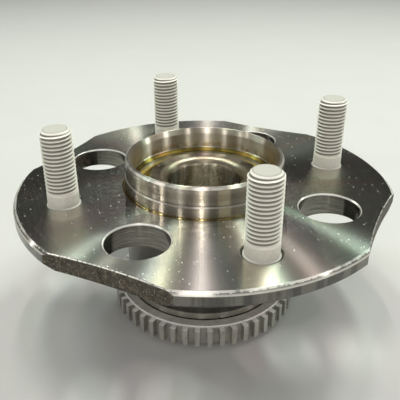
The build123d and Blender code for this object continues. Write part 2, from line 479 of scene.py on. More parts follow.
@dataclass(frozen=True)
class Dust:
    """Pale grit that lies on a metal surface, in grains of several sizes."""

    spacing: float = 1.2
    share: float = 0.7
    thinnest: float = 0.4
    smallest: float = 0.06
    largest: float = 0.20
    rarity: float = 6.0
    colour: tuple = (0.93, 0.92, 0.88)

    def mask(self, graph: Graph, place: Place) -> Value:
        """Return 1 on a grain and 0 off it.

        Args:
            graph: the graph to draw on.
            place: where the surface is.

        Returns:
            The mask.
        """
        distance, number = graph.cells(place.point, 1 / self.spacing)
        drift = graph.noise(place.point, 0.035, detail=2.0).rise(0.38, 0.62)
        drift = drift * (1 - self.thinnest) + self.thinnest
        chosen = (number - (1 - self.share * drift)).rise(0.0, 0.01)
        size = self.smallest + (number**self.rarity) * (self.largest - self.smallest)
        return chosen * (size - distance).rise(-0.02, 0.04)


@dataclass(frozen=True)
class MachinedForging(Finish):
    """Steel that is turned and ground on its fits and raw from the die elsewhere."""

    rim_radius: float = 76.1
    rim_thickness: float = 6.5
    front_chamfer: float = 1.2
    back_chamfer: float = 1.8
    hole_place: float = 36.91
    hole_radius: float = 11.5
    stud_circle: float = 57.15
    stud_hole_radius: float = 7.4
    stud_seat_radius: float = 6.5
    stud_seat_depth: float = 7.2
    pilot_radius: float = 32.0
    pilot_height: float = 12.2
    register_radius: float = 32.4
    register_height: float = 4.4
    cap_bore_radius: float = 29.5
    cap_bore_floor: float = 3.7
    cap_bore_mouth: float = 30.6
    barrel_radius: float = 34.5
    barrel_band: float = -42.7
    barrel_end: float = -45.0
    scallop_from: float = 62.0
    back_fillet: float = -14.0
    rim_painted_reflection: tuple = (0.12, 0.115, 0.10)
    warm_steel: tuple = (0.76, 0.70, 0.585)
    edge_wear_and_highlight: tuple = (0.92, 0.90, 0.85)
    oil: tuple = (0.40, 0.28, 0.06)
    forge_scale: tuple = (0.068, 0.058, 0.042)

    def raw_mask(self, place: Place) -> Value:
        """Return 1 on the walls and the back that the die left raw.

        Args:
            place: where the surface is.

        Returns:
            The mask.
        """
        r, z = place.radius, place.z
        turned_rim = (
            (r + z - (self.rim_radius - self.front_chamfer))
            .most(r - self.rim_radius)
            .most(r - z - (self.rim_radius - self.back_chamfer + self.rim_thickness))
            .rise(-0.10, -0.03)
        )
        wall = r.rise(self.scallop_from, self.scallop_from + 1.0)
        wall = wall * z.rise(-0.38, -0.45)
        wall = wall * z.rise(-0.4 - self.rim_thickness, -0.3 - self.rim_thickness)
        seat = abs(z + self.stud_seat_depth).rise(0.06, 0.02)
        back = z.rise(0.15 - self.rim_thickness, 0.05 - self.rim_thickness)
        back = back * r.rise(self.barrel_radius - 0.1, self.barrel_radius + 0.1)
        back = back * z.rise(self.back_fillet - 1.0, self.back_fillet)
        hole, stud = self.nearest_hole(place), self.nearest_stud(place)
        back = back * hole.rise(self.hole_radius + 0.05, self.hole_radius + 0.1)
        seat_edge = self.stud_seat_radius + 0.05
        back = back * stud.rise(seat_edge, seat_edge + 0.05)
        return ((wall + back) * (1 - turned_rim) * (1 - seat)).least(1.0)

    def nearest_hole(self, place: Place) -> Value:
        """Return how far the point lies from the nearest access hole's axis."""
        across, along = abs(place.x) - self.hole_place, abs(place.y) - self.hole_place
        return (across * across + along * along) ** 0.5

    def nearest_stud(self, place: Place) -> Value:
        """Measure how far the point lies from the nearest stud's axis.

        Args:
            place: where the surface is.

        Returns:
            The distance.
        """
        large = abs(place.x).most(abs(place.y)) - self.stud_circle
        small = abs(place.x).least(abs(place.y))
        return (large * large + small * small) ** 0.5

    def rim_wall(self, place: Place) -> Value:
        """Return 1 on the outermost wall of the flange."""
        return place.radius.rise(self.rim_radius - 0.7, self.rim_radius - 0.2)

    def rubbed_and_highlit_edges(self, place: Place) -> Value:
        """Return 1 on the edge breaks, rubbed bright by handling and painted with
        highlights.

        Args:
            place: where the surface is.

        Returns:
            The mask.
        """
        r, z = place.radius, place.z
        rubbed = place.spokes(9.0).rise(0.42, 0.56) * 0.5 + 0.15
        chips = place.spokes(60.0)
        ragged = (z + chips).rise(-0.05, 0.10)
        break_radius = self.rim_radius - self.front_chamfer
        rim = r.rise(break_radius - 0.3, break_radius - 0.1) * ragged * (rubbed + 0.25)
        hole = self.nearest_hole(place)
        hole = hole.rise(self.hole_radius + 0.8, self.hole_radius + 0.7)
        hole = hole * z.rise(-0.8, -0.6)
        pilot = z.rise(self.pilot_height - 0.8, self.pilot_height - 0.7) * rubbed
        pilot = r.rise(self.pilot_radius - 0.9, self.pilot_radius - 0.8) * pilot
        step = z.band(self.register_height - 0.05, self.register_height + 0.35, 0.08)
        step = r.rise(self.pilot_radius - 0.05, self.pilot_radius + 0.05) * step * 0.35
        below = z.rise(-0.02, -0.06)
        chipped = chips.rise(0.40, 0.55) * 0.6 + 0.2
        scallop = r.rise(self.scallop_from + 4.0, self.scallop_from + 5.0)
        scallop = scallop * z.rise(-0.45, -0.40) * below * chipped
        return (rim.most(scallop) + hole * below + pilot + step).least(1.0)

    def collar_coats(self, graph: Graph, place: Place) -> list[tuple]:
        """Colour the pilot collar and its bore, with painted shade and a painted
        highlight, and what oil has left round them.

        Args:
            graph: the graph to draw on.
            place: where the surface is.

        Returns:
            The coats' colours and shares.
        """
        r, z = place.radius, place.z
        stain = graph.noise(place.point, 0.45, detail=4.0)
        residue = r.rise(52.0, 36.0) * r.rise(33.0, 34.0) * stain.rise(0.46, 0.56)
        residue = residue * z.rise(-0.3, -0.1)
        wall = r.rise(self.register_radius + 0.4, self.register_radius + 0.2)
        wall = wall * r.rise(self.cap_bore_mouth + 0.2, self.cap_bore_mouth + 0.4)
        wall = wall * z.rise(0.0, 0.3)
        # A thin dark line over the step, and a painted shade band higher up the wall.
        dark_line_and_shade = z.band(4.8, 5.3, 0.1) * 0.6 + z.band(7.4, 9.4, 0.7) * 0.4
        bore = r.rise(self.cap_bore_mouth, self.cap_bore_mouth - 0.1)
        bore = bore * z.rise(self.cap_bore_floor - 0.1, self.cap_bore_floor + 0.1)
        amber = stain.rise(0.38, 0.60) * z.rise(7.2, 4.2)
        lead = r.rise(self.cap_bore_radius - 0.1, self.cap_bore_radius - 0.2)
        lead = lead * z.band(1.8, self.cap_bore_floor, 0.1)
        # Oil film on the lead-in chamfer, with a painted highlight along its top edge.
        film = graph.ramp(
            z / 4 + (place.rings(0.5, 1.6) - 0.5) * 0.2,
            [
                (0.46, (0.09, 0.062, 0.01)),
                (0.62, (0.36, 0.26, 0.055)),
                (0.78, (0.17, 0.125, 0.03)),
                (0.90, (0.85, 0.76, 0.55)),
            ],
        )
        groove = r.rise(self.register_radius + 1.2, self.register_radius + 1.0)
        groove = groove * r.rise(self.pilot_radius - 0.4, self.pilot_radius - 0.2)
        groove = groove * z.band(-0.6, 0.3, 0.2)
        return [
            ((0.30, 0.27, 0.21), residue * 0.45),
            ((0.58, 0.525, 0.455), wall * 0.9),
            ((0.27, 0.225, 0.165), wall * dark_line_and_shade),
            (self.warm_steel, bore * 0.9),
            (self.oil, bore * amber * 0.7),
            (film, lead),
            ((0.34, 0.25, 0.055), groove * 0.8),
        ]

    def rim_coats(self, place: Place) -> list[tuple]:
        """Colour the turned rim and its back chamfer with painted dark reflections, and
        its front edge with a painted highlight.

        Args:
            place: where the surface is.

        Returns:
            The coats' colours and shares.
        """
        r, z = place.radius, place.z
        wall = self.rim_wall(place)
        wall = wall * z.rise(0.05 - self.front_chamfer, -0.1 - self.front_chamfer)
        rim_reflection_bands = place.spokes(16.0).rise(0.42, 0.58)
        back_radius = self.rim_radius - self.back_chamfer
        back_start = self.back_chamfer - self.rim_thickness
        back = r.rise(back_radius - 0.2, back_radius - 0.1)
        back = back * z.rise(back_start + 0.1, back_start - 0.1)
        break_radius = self.rim_radius - self.front_chamfer
        edge = r.rise(break_radius - 0.1, break_radius + 0.05)
        edge = edge * z.band(-0.05 - self.front_chamfer, -0.5, 0.1)
        return [
            # Painted dark reflections on the rim wall and back chamfer, painted highlight
            # on the front edge.
            (self.rim_painted_reflection, wall * 0.95),
            ((0.03, 0.028, 0.024), wall * rim_reflection_bands * 0.7),
            ((0.035, 0.032, 0.028), back * 0.95),
            ((0.60, 0.58, 0.53), edge * 0.9),
        ]

    def barrel_coats(self, place: Place) -> list[tuple]:
        """Colour the barrel, in painted shade but for the ground band beside the tone
        ring.

        Args:
            place: where the surface is.

        Returns:
            The coats' colours and shares.
        """
        inside = place.radius.rise(self.barrel_radius + 0.1, self.barrel_radius - 0.1)
        barrel = inside * place.z.rise(-8.0, self.back_fillet)
        end = place.z.rise(self.barrel_end, self.barrel_end - 0.2)
        above = place.z.rise(self.barrel_band, self.barrel_band + 0.5)
        # Painted shade under the flange and at the joint with the tone ring.
        shade = inside * (above + end)
        return [
            ((0.52, 0.50, 0.45), barrel * 0.95),
            ((0.045, 0.042, 0.036), barrel * shade.least(1.0) * 0.9),
        ]

    def hole_coats(self, graph: Graph, place: Place) -> list[tuple]:
        """Colour the drilled walls of the access holes, and paint shadow into the studs'
        countersinks.

        Args:
            graph: the graph to draw on.
            place: where the surface is.

        Returns:
            The coats' colours and shares.
        """
        hole = self.nearest_hole(place)
        hole = hole.rise(self.hole_radius + 0.3, self.hole_radius + 0.1)
        wall = hole * place.z.rise(-0.6, -0.8)
        drilled = graph.vector(place.x * 0.1, place.y * 0.1, place.z * 3.0)
        cuts = graph.noise(drilled, 1.0, detail=3.0).rise(0.36, 0.64)
        marks = graph.mix((0.045, 0.041, 0.036), (0.19, 0.18, 0.155), cuts)
        stud = self.nearest_stud(place)
        stud = stud.rise(self.stud_hole_radius, self.stud_hole_radius - 0.2)
        return [
            (marks, wall * 0.85),
            # Painted shadow in each stud's countersink.
            ((0.06, 0.055, 0.05), stud * place.z.rise(0.0, -0.15) * 0.9),
        ]

    def turned_colour(self, graph: Graph, place: Place, rings: Value) -> Colour:
        """Return the colour of the turned and ground surfaces.

        Args:
            graph: the graph to draw on.
            place: where the surface is.
            rings: the turning marks.

        Returns:
            The colour, without its dust.
        """
        base = graph.ramp(
            place.spokes(2.6),
            [
                (0.34, (0.64, 0.58, 0.56)),
                (0.44, (0.64, 0.62, 0.545)),
                (0.56, (0.59, 0.63, 0.545)),
                (0.66, (0.65, 0.61, 0.52)),
            ],
        )
        base = base.coated(self.collar_coats(graph, place) + self.rim_coats(place))
        base = base.coated(self.barrel_coats(place) + self.hole_coats(graph, place))
        return base.times(rings * 0.24 + 0.88)

    def shader(self, graph: Graph, place: Place) -> bpy.types.NodeSocket:
        """Draw the worked surfaces and the raw ones, and part them by their mask.

        Args:
            graph: the graph to draw on.
            place: where the surface is.

        Returns:
            The surface's shader.
        """
        metal, raw = self.worked(graph, place), self.raw(graph, place)
        return graph.blend(self.raw_mask(place), metal, raw)

    def worked(self, graph: Graph, place: Place) -> bpy.types.NodeSocket:
        """Draw the turned and ground surfaces with dust and rubbed edges in painted
        highlight.

        Args:
            graph: the graph to draw on.
            place: where the surface is.

        Returns:
            Their shader.
        """
        rings = place.rings(0.35)
        coarse = place.rings(1.6)
        patches = graph.noise(place.point, 0.07, detail=5.0)
        fine = graph.noise(place.point, 1.1, detail=4.0, roughness=0.65)
        fit = place.radius.rise(self.register_radius + 0.8, self.register_radius + 0.6)
        fit = fit * place.z.rise(0.0, 0.3)
        wear_and_highlight = patches.rise(0.46, 0.60) * fine.rise(0.48, 0.66) * (1 - fit)
        dust = Dust()
        on_face = place.z.rise(-0.5, -0.3) * place.z.rise(0.5, 0.3)
        grit = dust.mask(graph, place) * on_face
        edges = self.rubbed_and_highlit_edges(place)
        base = self.turned_colour(graph, place, coarse).coated(
            [
                ((0.30, 0.285, 0.25), wear_and_highlight * 0.2),
                # Near-white edge breaks: rubbed wear with a painted highlight.
                (self.edge_wear_and_highlight, edges * 0.9),
                (dust.colour, grit),
            ]
        )
        bore = place.radius.rise(self.cap_bore_mouth + 0.3, self.cap_bore_mouth + 0.1)
        bore = bore * fit
        rim = self.rim_wall(place)
        rough = 0.212 + (patches - 0.5) * 0.03 + wear_and_highlight * 0.03 + fit * 0.055 + bore * 0.08
        rough = rough - rim * 0.06
        height = rings * 0.6 + coarse * 0.4
        return graph.surface(
            {
                "Base Color": base,
                "Metallic": 1 - (grit + edges * 0.55).most(rim * 0.75).least(1.0),
                "Roughness": rough + grit * 0.3 + edges * 0.12,
                "Anisotropic": 1.0,
                "Anisotropic Rotation": 0.25,
                "Normal": graph.bump(height, 0.03, 0.02),
            }
        )

    def raw(self, graph: Graph, place: Place) -> bpy.types.NodeSocket:
        """Draw the scaled skin that the die left, with bright specks in it.

        Args:
            graph: the graph to draw on.
            place: where the surface is.

        Returns:
            Its shader.
        """
        mottle = graph.noise(place.point, 0.55, detail=7.0, roughness=0.7)
        pits = graph.noise(place.point, 2.2, detail=3.0, roughness=0.6)
        glint = pits.rise(0.60, 0.67)
        dark = (0.026, 0.021, 0.014)
        pale = (0.145, 0.12, 0.082)
        stops = [(0.36, dark), (0.5, self.forge_scale), (0.64, pale)]
        scale = graph.ramp(mottle, stops).coated(
            [
                ((0.58, 0.53, 0.43), glint * 0.7),
                (dark, pits.rise(0.40, 0.32) * 0.8),
            ]
        )
        crust = mottle * 0.7 + pits * 0.3
        return graph.surface(
            {
                "Base Color": scale,
                "Metallic": 0.35 + glint * 0.5,
                "Roughness": 0.60 - glint * 0.25,
                "Normal": graph.bump(crust, 0.8, 0.5),
            }
        )


@dataclass(frozen=True)
class ZincFlake(Finish):
    """The matte, pale coating of the wheel studs."""

    colour: tuple = (0.95, 0.925, 0.83)
    root_shade_colour: tuple = (0.17, 0.16, 0.135)
    crest_radius: float = 5.95
    root_radius: float = 5.15
    tip_radius: float = 4.45
    collar_height: float = 4.4
    height: float = 29.6

    def shader(self, graph: Graph, place: Place) -> bpy.types.NodeSocket:
        """Draw the coating, with painted shade in the grooves of the thread.

        Args:
            graph: the graph to draw on.
            place: where the surface is.

        Returns:
            The surface's shader.
        """
        r, z = place.radius, place.z
        mottle = graph.noise(place.point, 0.8, detail=5.0, roughness=0.6)
        speck = graph.noise(place.point, 4.5, detail=2.0)
        in_thread = z.rise(self.collar_height, self.collar_height + 0.6)
        in_thread = in_thread * z.rise(self.height - 0.6, self.height - 1.0)
        tip = z.rise(self.height - 0.2, self.height - 0.1)
        # Painted shade in the thread's roots.
        root = r.rise(self.crest_radius - 0.28, self.root_radius) * in_thread
        collar = z.rise(self.collar_height + 0.5, self.collar_height)
        tip_edge = r.band(self.tip_radius - 0.3, self.tip_radius - 0.05, 0.1)
        base = graph.mix(self.colour, (0.98, 0.96, 0.88), mottle.rise(0.4, 0.65))
        base = base.coated(
            [
                (self.root_shade_colour, root * 0.9),
                ((0.40, 0.38, 0.34), speck.rise(0.70, 0.80) * 0.4),
                ((0.46, 0.455, 0.41), tip * 0.8),
                ((0.22, 0.21, 0.18), tip * tip_edge * 0.4),
                ((0.52, 0.505, 0.455), collar * (mottle * 0.7 + 0.05)),
            ]
        )
        return graph.surface(
            {
                "Base Color": base,
                "Metallic": 0.08,
                "Roughness": 0.52 + (mottle - 0.5) * 0.25 + root * 0.1,
                "Normal": graph.bump(speck * 0.6 + mottle * 0.4, 0.35, 0.05),
            }
        )


@dataclass(frozen=True)
class PlainMetal(Finish):
    """A steel that has one kind of surface all over, seen round the part's axis."""

    colour: tuple
    dark: tuple
    roughness: float = 0.3
    metallic: float = 1.0
    anisotropic: float = 0.0
    grain: float = 1.2
    ring_pitch: float = 0.4
    bump_height: float = 0.02

    def shader(self, graph: Graph, place: Place) -> bpy.types.NodeSocket:
        """Draw fine turning marks over a soft mottle.

        Args:
            graph: the graph to draw on.
            place: where the surface is.

        Returns:
            The surface's shader.
        """
        mottle = graph.noise(place.point, self.grain * 0.25, detail=5.0)
        fine = graph.noise(place.point, self.grain * 2.0, detail=3.0)
        rings = place.rings(self.ring_pitch)
        base = graph.mix(self.dark, self.colour, mottle.rise(0.30, 0.62))
        base = base.times(rings * 0.2 + 0.9)
        height = rings * 0.6 + fine * 0.4
        return graph.surface(
            {
                "Base Color": base,
                "Metallic": self.metallic,
                "Roughness": self.roughness + (mottle - 0.5) * 0.2,
                "Anisotropic": self.anisotropic,
                "Anisotropic Rotation": 0.25,
                "Normal": graph.bump(height, 0.3, self.bump_height),
            }
        )


@dataclass(frozen=True)
class SinteredSteel(Finish):
    """The tone ring's satin steel, with painted highlights on its corners and teeth."""

    top: float = -45.4
    edge_break: float = 0.35
    tooth_setback: float = 0.6
    tip_radius: float = 39.5
    root_radius: float = 37.2
    seat_radius: float = 33.0
    colour: tuple = (0.56, 0.55, 0.50)
    dark: tuple = (0.43, 0.42, 0.38)
    wear_and_highlight: tuple = (0.84, 0.83, 0.77)
    corner: tuple = (0.96, 0.95, 0.91)
    shadow: tuple = (0.05, 0.045, 0.038)

    def shader(self, graph: Graph, place: Place) -> bpy.types.NodeSocket:
        """Draw a satin surface with painted highlights on its corners and teeth, painted
        shadow on its seat, and pits.

        Args:
            graph: the graph to draw on.
            place: where the surface is.

        Returns:
            The surface's shader.
        """
        r, z = place.radius, place.z
        mottle = graph.noise(place.point, 0.3, detail=5.0)
        fine = graph.noise(place.point, 2.4, detail=3.0)
        ledge = self.top - self.edge_break - 0.1
        tooth_top = self.top - self.tooth_setback - 0.1
        outside = r.rise(self.root_radius - 0.1, self.root_radius + 0.1)
        break_radius = self.root_radius - self.edge_break
        corner = z.rise(ledge, ledge + 0.1) * r.rise(break_radius - 0.15, break_radius)
        corner = corner.most(z.rise(tooth_top - 0.1, tooth_top) * outside)
        seat = r.rise(self.seat_radius + 0.45, self.seat_radius + 0.3)
        seat = seat * z.rise(self.top - 0.6, self.top - 0.2)
        top = z.rise(self.top - 0.2, self.top - 0.1) * (1 - seat)
        base = graph.mix(self.dark, self.colour, mottle.rise(0.30, 0.62))
        tooth = r.rise(self.tip_radius - 0.3, self.tip_radius - 0.15)
        pit = fine.rise(0.68, 0.74)
        # Painted highlight on the teeth's outer faces and the corners, painted shadow on
        # the seat.
        base = base.coated(
            [
                (self.wear_and_highlight, tooth * 0.3),
                (self.shadow, seat),
                (self.corner, corner * 0.9),
                (self.shadow, pit * (1 - corner) * 0.5),
            ]
        )
        return graph.surface(
            {
                "Base Color": base,
                "Metallic": 0.85 - corner.most(top) * 0.85,
                "Roughness": 0.42 + (mottle - 0.5) * 0.15,
                "Normal": graph.bump(fine - pit, 0.25, 0.03),
            }
        )


@dataclass(frozen=True)
class RaceSteel(Finish):
    """Bearing steel, ground on its faces, straw brown on the rounding of its bore."""

    face: tuple = (0.25, 0.21, 0.16)
    face_dark: tuple = (0.19, 0.16, 0.125)
    bronze: tuple = (0.34, 0.295, 0.215)
    bore: tuple = (0.78, 0.73, 0.60)
    bore_radius: float = 15.0
    rounding: float = 3.6

    def shader(self, graph: Graph, place: Place) -> bpy.types.NodeSocket:
        """Draw the ground faces, the rounding and the bore.

        Args:
            graph: the graph to draw on.
            place: where the surface is.

        Returns:
            The surface's shader.
        """
        r, z = place.radius, place.z
        mottle = graph.noise(place.point, 0.35, detail=5.0)
        rings = place.rings(0.25)
        inside = r.rise(self.bore_radius + 0.5, self.bore_radius + 0.02)
        round_end = self.bore_radius + self.rounding
        round_off = r.rise(round_end, round_end - 0.8)
        base = graph.mix(self.face, self.face_dark, mottle.rise(0.35, 0.65))
        base = base.toward(self.bronze, round_off * 0.85)
        # Lengthwise bands in the bore are painted reflections.
        drawn = place.spokes(7.0).rise(0.44, 0.54)
        bore = graph.mix(self.bore, self.face, drawn * 0.45)
        base = base.toward(bore, inside)
        inputs = {
            "Base Color": base.times(rings * 0.24 + 0.88),
            "Metallic": 1.0,
            "Roughness": 0.34 + (mottle - 0.5) * 0.1 - inside * 0.07,
            "Anisotropic Rotation": 0.25,
            "Normal": graph.bump(rings, 0.06, 0.02),
        }
        ground = graph.surface(inputs | {"Anisotropic": 1.0})
        rounded = graph.surface(inputs | {"Anisotropic": 0.1})
        return graph.blend(round_off * (1 - inside), ground, rounded)


@dataclass(frozen=True)
class GreasedRubber(Finish):
    """Olive nitrile rubber under a film of amber grease."""

    bare_radius: float = 26.0
    rim_radius: float = 27.8
    rubber: tuple = (0.13, 0.10, 0.03)
    grease: tuple = (0.54, 0.40, 0.075)

    def shader(self, graph: Graph, place: Place) -> bpy.types.NodeSocket:
        """Draw the rubber and the grease that has gathered toward its rim.

        Args:
            graph: the graph to draw on.
            place: where the surface is.

        Returns:
            The surface's shader.
        """
        smear = graph.noise(place.point, 0.22, detail=4.0, distortion=1.2)
        fine = graph.noise(place.point, 1.6, detail=4.0)
        rim = place.radius.rise(self.bare_radius, self.rim_radius)
        film = (smear.rise(0.35, 0.65) * 0.6 + rim * 0.5).least(1.0)
        base = graph.mix(self.rubber, self.grease, film)
        base = base.toward((0.05, 0.045, 0.03), fine.rise(0.6, 0.75) * 0.5)
        return graph.surface(
            {
                "Base Color": base,
                "Metallic": 0.0,
                "Roughness": 0.36 - film * 0.12,
                "Coat Weight": film * 0.8,
                "Coat Roughness": 0.16,
                "Normal": graph.bump(smear * 0.7 + fine * 0.3, 0.4, 0.15),
            }
        )


@dataclass(frozen=True)
class Moulding(Finish):
    """Glass-filled nylon, matt and slightly mottled."""

    colour: tuple = (0.16, 0.20, 0.13)

    def shader(self, graph: Graph, place: Place) -> bpy.types.NodeSocket:
        """Draw a matt surface with a fine grain.

        Args:
            graph: the graph to draw on.
            place: where the surface is.

        Returns:
            The surface's shader.
        """
        mottle = graph.noise(place.point, 0.7, detail=5.0)
        fine = graph.noise(place.point, 6.0, detail=2.0)
        base = graph.mix(self.colour, (0.22, 0.26, 0.17), mottle)
        return graph.surface(
            {
                "Base Color": base,
                "Roughness": 0.45 + fine * 0.15,
                "Normal": graph.bump(fine, 0.2, 0.03),
            }
        )


@dataclass(frozen=True)
class PaleFloor(Finish):
    """The studio's plain floor."""

    colour: tuple = (0.66, 0.655, 0.64)
    shade: tuple = (0.62, 0.615, 0.60)

    def shader(self, graph: Graph, place: Place) -> bpy.types.NodeSocket:
        """Draw a matt surface that drifts a little in its tone.

        Args:
            graph: the graph to draw on.
            place: where the surface is.

        Returns:
            The surface's shader.
        """
        colour = graph.mix(
            self.colour, self.shade, graph.noise(place.point, 0.02, detail=3.0)
        )
        return graph.surface({"Base Color": colour, "Roughness": 0.75})


class Slot(Enum):
    """The material slots, whose values name the materials."""

    FORGING = "machined_forging"
    STUD = "stud_zinc_flake"
    SINTERED = "sintered_steel"
    RACE = "ground_race_steel"
    BALL = "ball_steel"
    PRESSED = "pressed_steel"
    SPRING = "spring_steel"
    CAGE = "cage_polyamide"
    RUBBER = "seal_rubber"


FINISHES = {
    Slot.FORGING: MachinedForging(),
    Slot.SINTERED: SinteredSteel(),
    Slot.RACE: RaceSteel(),
    Slot.BALL: PlainMetal(
        colour=(0.72, 0.72, 0.72), dark=(0.66, 0.66, 0.66), roughness=0.1
    ),
    Slot.PRESSED: PlainMetal(
        colour=(0.55, 0.55, 0.52),
        dark=(0.42, 0.41, 0.38),
        roughness=0.28,
        anisotropic=0.5,
    ),
    Slot.SPRING: PlainMetal(
        colour=(0.36, 0.35, 0.34), dark=(0.24, 0.22, 0.20), roughness=0.35
    ),
    Slot.CAGE: Moulding(),
    Slot.RUBBER: GreasedRubber(),
}


# ---------------------------------------------------------------------------
# Pieces
# ---------------------------------------------------------------------------


@dataclass
class PackedParts:
    """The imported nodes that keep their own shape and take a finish."""

    stud_prefix: str = "wheel_stud_"
    slots: dict = field(
        default_factory=lambda: {
            "hub_flange": Slot.FORGING,
            "tone_ring": Slot.SINTERED,
            "inner_ring_clip": Slot.SPRING,
            "inboard_slinger": Slot.PRESSED,
        }
    )

    def slot_of(self, node: str) -> Slot:
        """Return the slot that a node takes its finish from.

        Args:
            node: the node's name.

        Returns:
            Its slot.
        """
        if node in self.slots:
            return self.slots[node]
        for word, slot in (
            ("ball", Slot.BALL),
            ("cage", Slot.CAGE),
            ("_case", Slot.PRESSED),
            ("_lip", Slot.RUBBER),
            ("inner_ring", Slot.RACE),
        ):
            if word in node:
                return slot
        raise ValueError(f"{node} has no finish")

    def dress(self) -> None:
        """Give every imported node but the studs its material."""
        made: dict[Slot, bpy.types.Material] = {}
        for name, node in sorted(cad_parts.items()):
            if name.startswith(self.stud_prefix):
                continue
            slot = self.slot_of(name)
            if slot not in made:
                made[slot] = FINISHES[slot].material(slot.value)
            node.data.materials.clear()
            node.data.materials.append(made[slot])
            LOG.info("%s takes the finish %s", name, slot.value)


@dataclass
class WheelStud:
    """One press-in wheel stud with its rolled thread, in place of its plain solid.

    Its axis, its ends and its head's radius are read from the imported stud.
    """

    node: str
    body: str = "hub"
    pitch: float = 1.5 * MM
    crest_radius: float = 5.96 * MM
    root_radius: float = 5.04 * MM
    collar_radius: float = 6.0 * MM
    collar_height: float = 4.4 * MM
    tip_radius: float = 4.45 * MM
    tip_slope: float = 1.0
    shank_radius: float = 6.0 * MM
    knurl_radius: float = 6.45 * MM
    head_thickness: float = 4.2 * MM
    head_chamfer: float = 0.7 * MM
    collar_break: float = 0.5 * MM
    knurl_lead: float = 0.45 * MM
    edge_break: float = 0.3 * MM
    steps: int = 60
    sharp_angle: float = 32.0

    def __post_init__(self) -> None:
        """Read the stud's axis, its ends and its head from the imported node."""
        low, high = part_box(self.node)
        self.centre = Vector(((low.x + high.x) / 2, (low.y + high.y) / 2, 0.0))
        self.top, self.bottom = high.z, low.z
        self.head_radius = (high.x - low.x) / 2

    def thread_profile(self) -> list[tuple[float, float]]:
        """Draw one pitch of the thread, from root to root.

        Returns:
            The radius and height of each point.
        """
        crest, root = self.crest_radius, self.root_radius
        depth = crest - root
        shape = [
            (0.000, 0.00),
            (0.105, 0.03),
            (0.190, 0.15),
            (0.410, 0.86),
            (0.450, 0.97),
            (0.500, 1.00),
            (0.550, 0.97),
            (0.590, 0.86),
            (0.810, 0.15),
            (0.895, 0.03),
            (1.000, 0.00),
        ]
        return [(root + depth * share, self.pitch * place) for place, share in shape]

    def wind_thread(self, mesh: bmesh.types.BMesh) -> None:
        """Wind the profile into a right-hand helix and cut it square at both ends.

        Args:
            mesh: the mesh to wind it in.
        """
        turns = math.ceil((self.top - self.collar_height) / self.pitch) + 3
        start = self.collar_height - 1.5 * self.pitch
        points = [
            mesh.verts.new(self.centre + Vector((radius, 0.0, start + height)))
            for radius, height in self.thread_profile()
        ]
        edges = [mesh.edges.new(pair) for pair in zip(points, points[1:])]
        bmesh.ops.spin(
            mesh,
            geom=points + edges,
            cent=self.centre,
            axis=(0.0, 0.0, 1.0),
            dvec=(0.0, 0.0, self.pitch / self.steps),
            angle=math.tau,
            steps=self.steps,
            use_merge=False,
        )
        one_turn = mesh.verts[:] + mesh.edges[:] + mesh.faces[:]
        for turn in range(1, turns):
            copied = bmesh.ops.duplicate(mesh, geom=one_turn)["geom"]
            verts = [item for item in copied if isinstance(item, bmesh.types.BMVert)]
            bmesh.ops.translate(mesh, vec=(0.0, 0.0, turn * self.pitch), verts=verts)
        bmesh.ops.remove_doubles(mesh, verts=mesh.verts, dist=WELD)
        for height, upper in ((self.collar_height, False), (self.top, True)):
            bmesh.ops.bisect_plane(
                mesh,
                geom=mesh.verts[:] + mesh.edges[:] + mesh.faces[:],
                dist=CUT,
                plane_co=(0.0, 0.0, height),
                plane_no=(0.0, 0.0, 1.0),
                clear_outer=upper,
                clear_inner=not upper,
            )
        bmesh.ops.remove_doubles(mesh, verts=mesh.verts, dist=CUT_WELD)

    def run_out(self, mesh: bmesh.types.BMesh) -> None:
        """Fade the thread into its collar and cut the chamfer of its tip.

        Args:
            mesh: the wound thread.
        """
        fade = 0.9 * self.pitch
        for vert in mesh.verts:
            arm = (vert.co - self.centre) * Vector((1.0, 1.0, 0.0))
            radius = arm.length
            rise = (vert.co.z - self.collar_height) / fade
            floor = self.collar_radius - (self.collar_radius - self.root_radius) * rise
            cone = self.tip_radius + (self.top - vert.co.z) * self.tip_slope
            wanted = min(max(radius, floor), cone)
            vert.co += arm.normalized() * (wanted - radius)

    def end_loop(
        self, mesh: bmesh.types.BMesh, height: float
    ) -> list[bmesh.types.BMEdge]:
        """Find the ring of open edges at one height.

        Args:
            mesh: the mesh to look in.
            height: the ring's height.

        Returns:
            The ring's edges.
        """
        return [
            edge
            for edge in mesh.edges
            if edge.is_boundary
            and all(abs(vert.co.z - height) < CUT_WELD for vert in edge.verts)
        ]

    def shank_stations(self) -> list[tuple[float, float]]:
        """Step down from the collar, through the knurl, to the back of the head.

        Returns:
            The radius and height of each ring.
        """
        head_top = self.bottom + self.head_thickness
        return [
            (self.collar_radius, self.collar_break),
            (self.shank_radius, 0.0),
            (self.knurl_radius, -self.knurl_lead),
            (self.knurl_radius, head_top + self.edge_break),
            (self.knurl_radius + self.edge_break, head_top),
            (self.head_radius - self.edge_break, head_top),
            (self.head_radius, head_top - self.edge_break),
            (self.head_radius, self.bottom + self.head_chamfer),
            (self.head_radius - self.head_chamfer, self.bottom),
        ]

    def draw_shank(self, mesh: bmesh.types.BMesh) -> None:
        """Draw the collar's ring down through the flange and out into the head.

        Args:
            mesh: the thread, open at its collar.
        """
        loop = self.end_loop(mesh, self.collar_height)
        radius, height = self.collar_radius, self.collar_height
        about = Matrix.Translation(-self.centre)
        for next_radius, next_height in self.shank_stations():
            grown = bmesh.ops.extrude_edge_only(mesh, edges=loop)["geom"]
            verts = [item for item in grown if isinstance(item, bmesh.types.BMVert)]
            loop = [
                item
                for item in grown
                if isinstance(item, bmesh.types.BMEdge) and item.is_boundary
            ]
            share = next_radius / radius
            bmesh.ops.scale(mesh, vec=(share, share, 1.0), space=about, verts=verts)
            bmesh.ops.translate(
                mesh, vec=(0.0, 0.0, next_height - height), verts=verts
            )
            radius, height = next_radius, next_height

